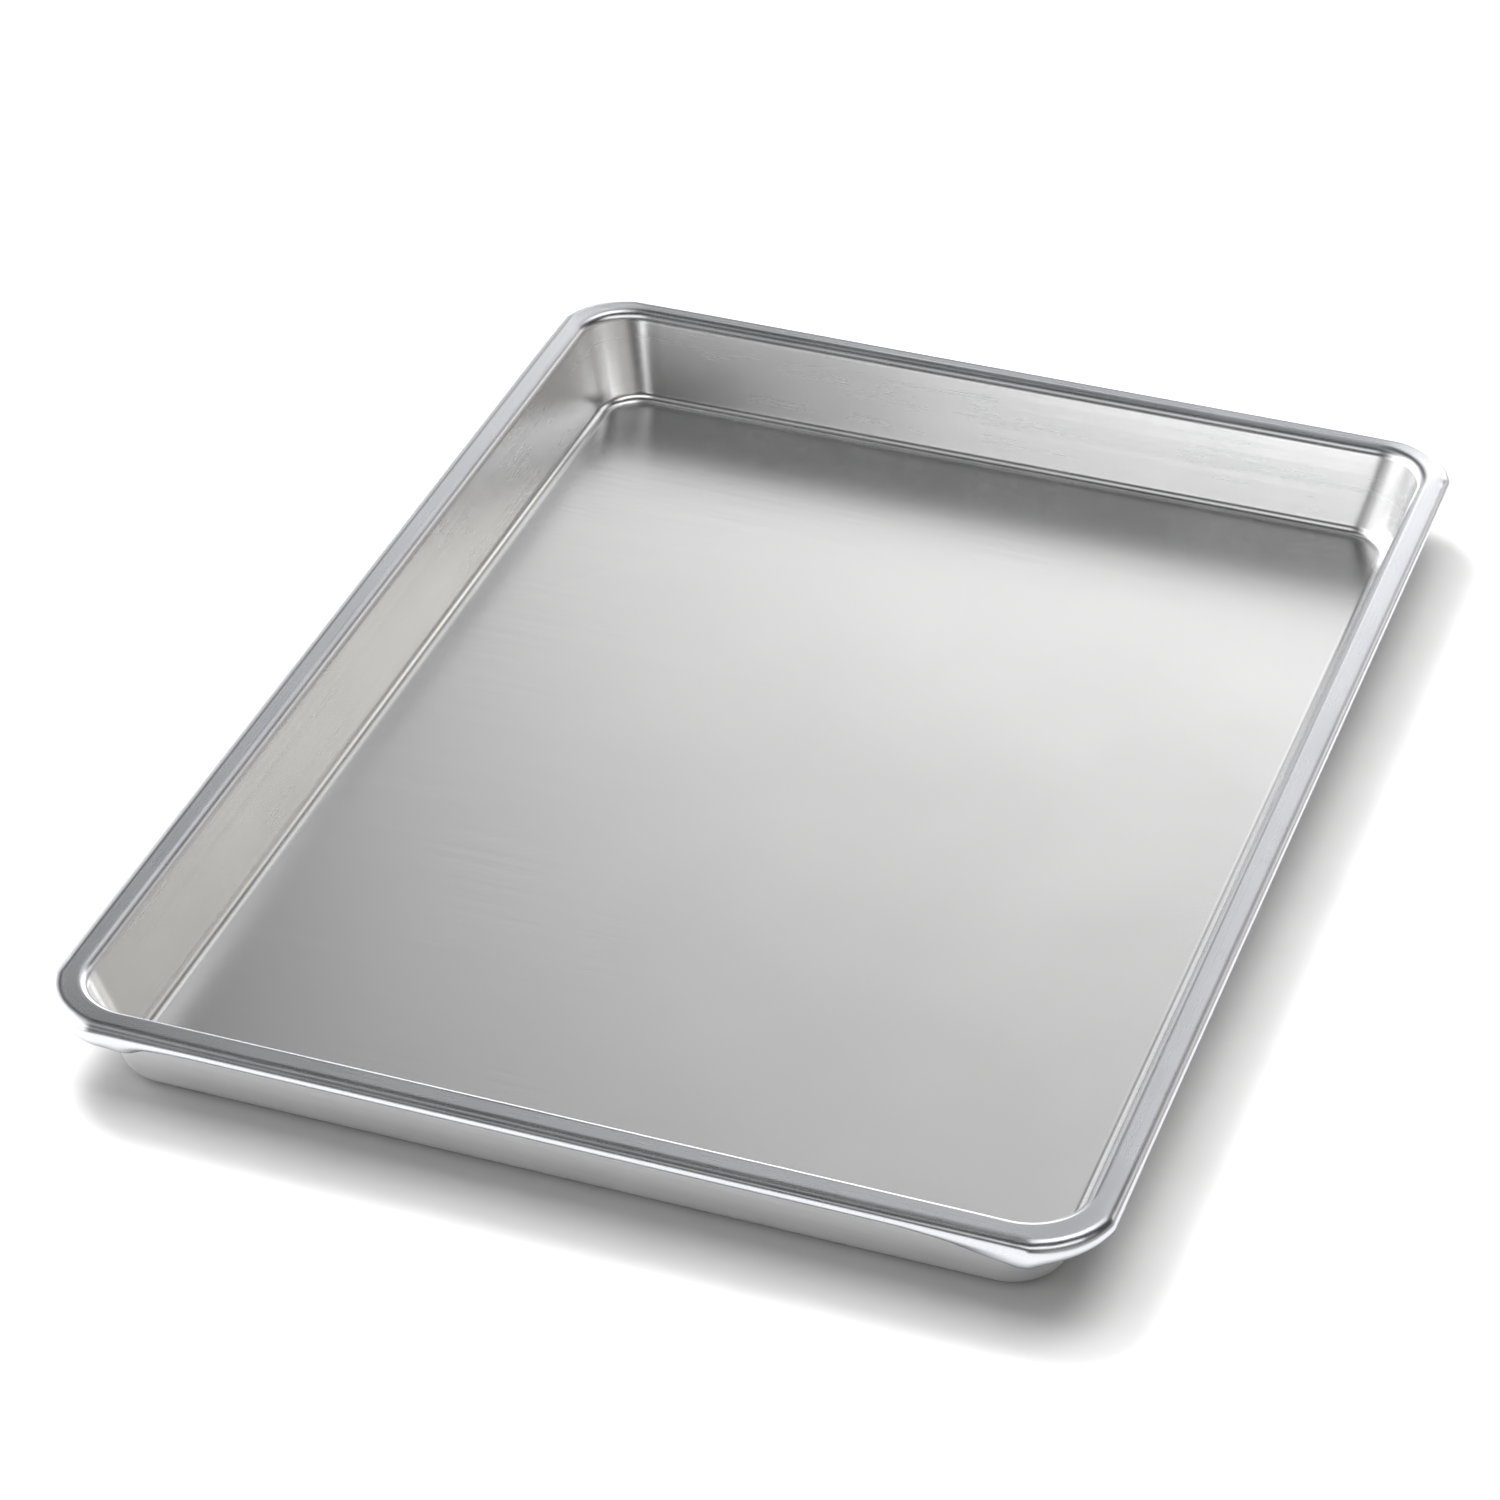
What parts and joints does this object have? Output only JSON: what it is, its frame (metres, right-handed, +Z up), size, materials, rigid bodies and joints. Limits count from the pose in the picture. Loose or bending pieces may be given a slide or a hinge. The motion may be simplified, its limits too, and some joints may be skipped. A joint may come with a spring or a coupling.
{
  "type": "jelly roll pan",
  "caption": "Shallow rectangular metal baking pan with sloping walls, rounded corners, flat ledge and an edge rolled over a stiffening wire.",
  "frame": {"origin": "middle of the flat underside", "axes": "+X along the short side, +Y along the long side, +Z up out of the open mouth"},
  "size_m": [0.3048, 0.4254, 0.03],
  "materials": {
    "pan_aluminium": "satin rolled sheet, fine grain along X, draw streaks on the walls and rim",
    "galvanised_wire": "dull galvanised steel wire"
  },
  "bodies": {
    "root": {"pan_sheet": "pan_aluminium", "rim_wire": "galvanised_wire"}
  },
  "joints": []
}
